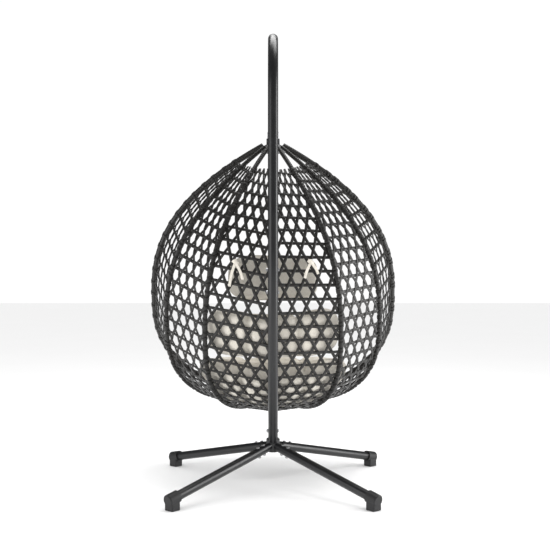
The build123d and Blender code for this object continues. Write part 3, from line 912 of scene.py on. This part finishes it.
def ribbon(patches, path, facing, width, thickness):
    """A flat tape along a path: given points joined by a smooth curve, with an oval section."""
    knots = np.asarray(path, float)
    count = len(knots)
    at = np.linspace(0, count - 1, count * 10)
    padded = np.vstack([2 * knots[0] - knots[1], knots, 2 * knots[-1] - knots[-2]])
    index = np.minimum(at.astype(int), count - 2)
    u = (at - index)[:, None]
    p0, p1, p2, p3 = (padded[index + k] for k in range(4))
    points = 0.5 * (2 * p1 + (p2 - p0) * u + (2 * p0 - 5 * p1 + 4 * p2 - p3) * u**2
                    + (3 * p1 - p0 - 3 * p2 + p3) * u**3)
    normals = np.repeat(np.asarray(facing, float)[None], len(points), 0)
    rings = oval_ring(points, normals, width / 2, thickness / 2, 12)
    patches.tube(rings, length_along(points))


def pillow_ties():
    """Two tape ties: from the pillow through the weave, knotted outside it, with two tails each."""
    patches = Patches()
    low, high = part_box("headrest_pillow")
    height = high.z - 0.035
    for side, droop in ((-1, 0.105), (1, 0.070)):
        x = side * (high.x - 0.035)
        wall = wall_behind(x, height)
        inside = wall + np.array([0, 0.060, -0.004])
        outside = wall + np.array([0, -0.011, 0.0])
        ribbon(patches, [inside, wall + [0, 0.030, 0.010], wall + [0, 0.0, 0.012], outside],
               (0, 0, 1), 0.011, 0.0016)
        ribbon(patches, [outside + [-0.012, -0.001, 0.006], outside + [-0.004, -0.006, 0.001],
                         outside + [0.005, -0.006, -0.003], outside + [0.013, -0.001, -0.006]],
               (0, -1, 0.2), 0.013, 0.0050)
        for sway, reach in ((-0.016, droop), (0.020, droop * 0.72)):
            end = wall_behind(x + sway * 1.6, height - reach) + np.array([0, -0.010, 0])
            middle = wall_behind(x + sway, height - reach * 0.5) + np.array([0, -0.013, 0])
            ribbon(patches, [outside + [0, -0.004, 0], middle, end],
                   (0.15 * side, -1, 0), 0.012, 0.0015)
    piece = patches.mesh("pillow_tapes")
    return dress(piece, "cushion_fabric", "basket", "pillow_ties")


def wall_behind(x, height):
    """The point on the woven back at a place across and a height: on the two middle panels."""
    t = np.linspace(0.05, 1.2, 400)
    edge = math.radians(INNER_RIBS[3])
    radius = shell_profile(t)[0]
    share = np.clip(abs(x) / (radius * math.sin(edge)), 0, 1)
    points = on_panel(t, share, 0.0, edge if x > 0 else -edge, np.zeros_like(t))[0]
    return points[np.argmin(np.abs(points[:, 2] - height))]


# ---- operators ----
class EGGCHAIR_OT_stage(bpy.types.Operator):
    """Lay the studio floor, hang the lights and place the camera"""

    bl_idname = "eggchair.stage"
    bl_label = "Studio"

    def execute(self, context):
        stage = settings("stage_settings")
        x = np.linspace(-0.5, 0.5, 9) * stage.floor_size
        grid = np.stack(np.meshgrid(x, x, indexing="ij"), -1).reshape(-1, 2)
        points = np.column_stack([grid, np.zeros(len(grid))])
        index = np.arange(81).reshape(9, 9)
        corners = (index[:-1, :-1], index[1:, :-1], index[1:, 1:], index[:-1, 1:])
        quads = np.stack(corners, -1).reshape(-1, 4)
        data = bpy.data.meshes.new("floor")
        data.from_pydata(points.tolist(), [], quads.tolist())
        floor = bpy.data.objects.new("floor", data)
        data.materials.append(studio_finish())
        context.scene.collection.objects.link(floor)
        world = bpy.data.worlds.new("studio")
        world.use_nodes = True
        self.light_world(world.node_tree)
        context.scene.view_settings.view_transform = "Standard"
        context.scene.world = world
        for name, place, size, power in LAMPS:
            self.hang_light(context, name, place, size, power)
        camera = bpy.data.objects.new("camera", bpy.data.cameras.new("camera"))
        camera.data.lens = stage.lens
        camera.data.sensor_width = SENSOR_WIDTH
        camera.location = (0, HANG_Y - stage.distance, stage.height)
        camera.rotation_euler = (math.pi / 2 - stage.pitch, 0, -stage.yaw)
        context.scene.collection.objects.link(camera)
        context.scene.camera = camera
        return {"FINISHED"}

    @staticmethod
    def light_world(tree):
        """A white surround that lights evenly, but shows dark in glossy surfaces."""
        seen = tree.nodes["Background"]
        seen.inputs["Color"].default_value = (1, 1, 1, 1)
        seen.inputs["Strength"].default_value = SEEN_WORLD
        fill = add_node(tree, "ShaderNodeBackground")
        fill.inputs["Color"].default_value = (1, 1, 1, 1)
        fill.inputs["Strength"].default_value = GLOSSY_WORLD
        path = add_node(tree, "ShaderNodeLightPath")
        mix = add_node(tree, "ShaderNodeMixShader")
        tree.links.new(path.outputs["Is Glossy Ray"], mix.inputs[0])
        tree.links.new(seen.outputs[0], mix.inputs[1])
        tree.links.new(fill.outputs[0], mix.inputs[2])
        tree.links.new(mix.outputs[0], tree.nodes["World Output"].inputs["Surface"])

    @staticmethod
    def hang_light(context, name, place, size, power):
        light = bpy.data.lights.new(name, "AREA")
        light.shape = "RECTANGLE"
        light.size, light.size_y = size
        light.energy = power
        lamp = bpy.data.objects.new(name, light)
        lamp.location = place
        aim = np.array([0, HANG_Y, LAMP_AIM_HEIGHT]) - np.array(place)
        flat = math.hypot(aim[0], aim[1])
        lamp.rotation_euler = (math.atan2(flat, -aim[2]), 0, math.atan2(-aim[0], aim[1]))
        context.scene.collection.objects.link(lamp)


class EGGCHAIR_OT_metalwork(bpy.types.Operator):
    """Give every carried part of the stand and suspension its finish"""

    bl_idname = "eggchair.metalwork"
    bl_label = "Metalwork finishes"

    def execute(self, context):
        slots = {part["node"]: part["material_slot"] for part in frame["record"]["subparts"]}
        for name, node in frame["nodes"].items():
            node.data.materials.clear()
            node.data.materials.append(finish_for(slots[name]))
        return {"FINISHED"}


class EGGCHAIR_OT_weave(bpy.types.Operator):
    """Weave the six open cane panels"""

    bl_idname = "eggchair.weave"
    bl_label = "Cane panels"

    def execute(self, context):
        edges = (-RIM_ANGLE, *INNER_RIBS, RIM_ANGLE)
        for number, (left, right) in enumerate(zip(edges[:-1], edges[1:]), start=1):
            woven_panel(number, left, right)
        return {"FINISHED"}


class EGGCHAIR_OT_ribs(bpy.types.Operator):
    """Wind the ribs and the rim with cane and lash the panels to them"""

    bl_idname = "eggchair.ribs"
    bl_label = "Wrapped ribs and rim"

    def execute(self, context):
        b = settings("basket")
        angles = (-RIM_ANGLE, *INNER_RIBS, RIM_ANGLE)
        nodes = ("rim_left", "rib_1", "rib_2", "rib_3", "rib_4", "rib_5", "rim_right")
        for k, (degrees, node) in enumerate(zip(angles, nodes)):
            places = []
            if k > 0:
                places.append((lashing_places(k)[1], 0.5))
            if k < len(angles) - 1:
                places.append((lashing_places(k + 1)[0], -0.5))
            core = b.rim_radius if node.startswith("rim") else b.rib_radius
            wrapped_rib("wrapped_" + node, degrees, core, RIB_START, places, node)
        return {"FINISHED"}


class EGGCHAIR_OT_cushions(bpy.types.Operator):
    """Sew and stuff the seat cushion, the back cushion and the headrest pillow"""

    bl_idname = "eggchair.cushions"
    bl_label = "Cushions"

    def execute(self, context):
        c = settings("cushions")
        shell_cushion("seat_cushion_soft", "seat_cushion", 1.078, 1.84,
                      c.seat_angle, c.seat_thickness, voxel=0.0075)
        shell_cushion("back_cushion_soft", "back_cushion", 0.78, 1.066,
                      c.back_angle, c.back_thickness, voxel=0.0065)
        headrest()
        pillow_ties()
        return {"FINISHED"}


class EGGCHAIR_PT_panel(bpy.types.Panel):
    """Steps of the build, in order"""

    bl_label = "Hanging Egg Chair"
    bl_idname = "EGGCHAIR_PT_panel"
    bl_space_type = "VIEW_3D"
    bl_region_type = "UI"
    bl_category = "Egg Chair"

    def draw(self, context):
        for step in STEPS:
            self.layout.operator(step.bl_idname)


STEPS = (
    EGGCHAIR_OT_stage,
    EGGCHAIR_OT_metalwork,
    EGGCHAIR_OT_weave,
    EGGCHAIR_OT_ribs,
    EGGCHAIR_OT_cushions,
)
GROUPS = {
    "basket": EGGCHAIR_basket,
    "cushions": EGGCHAIR_cushions,
    "finishes": EGGCHAIR_finishes,
    "stage_settings": EGGCHAIR_stage_settings,
}


def register():
    for kind in (*GROUPS.values(), *STEPS, EGGCHAIR_PT_panel):
        bpy.utils.register_class(kind)
    for name, kind in GROUPS.items():
        setattr(bpy.types.Scene, "eggchair_" + name, PointerProperty(type=kind))


def unregister():
    for name in GROUPS:
        delattr(bpy.types.Scene, "eggchair_" + name)
    for kind in (EGGCHAIR_PT_panel, *reversed(STEPS), *GROUPS.values()):
        bpy.utils.unregister_class(kind)


def main():
    register()
    bpy.ops.eggchair.stage()
    bpy.ops.eggchair.metalwork()
    bpy.ops.eggchair.weave()
    bpy.ops.eggchair.ribs()
    bpy.ops.eggchair.cushions()


if __name__ == "__main__":
    main()
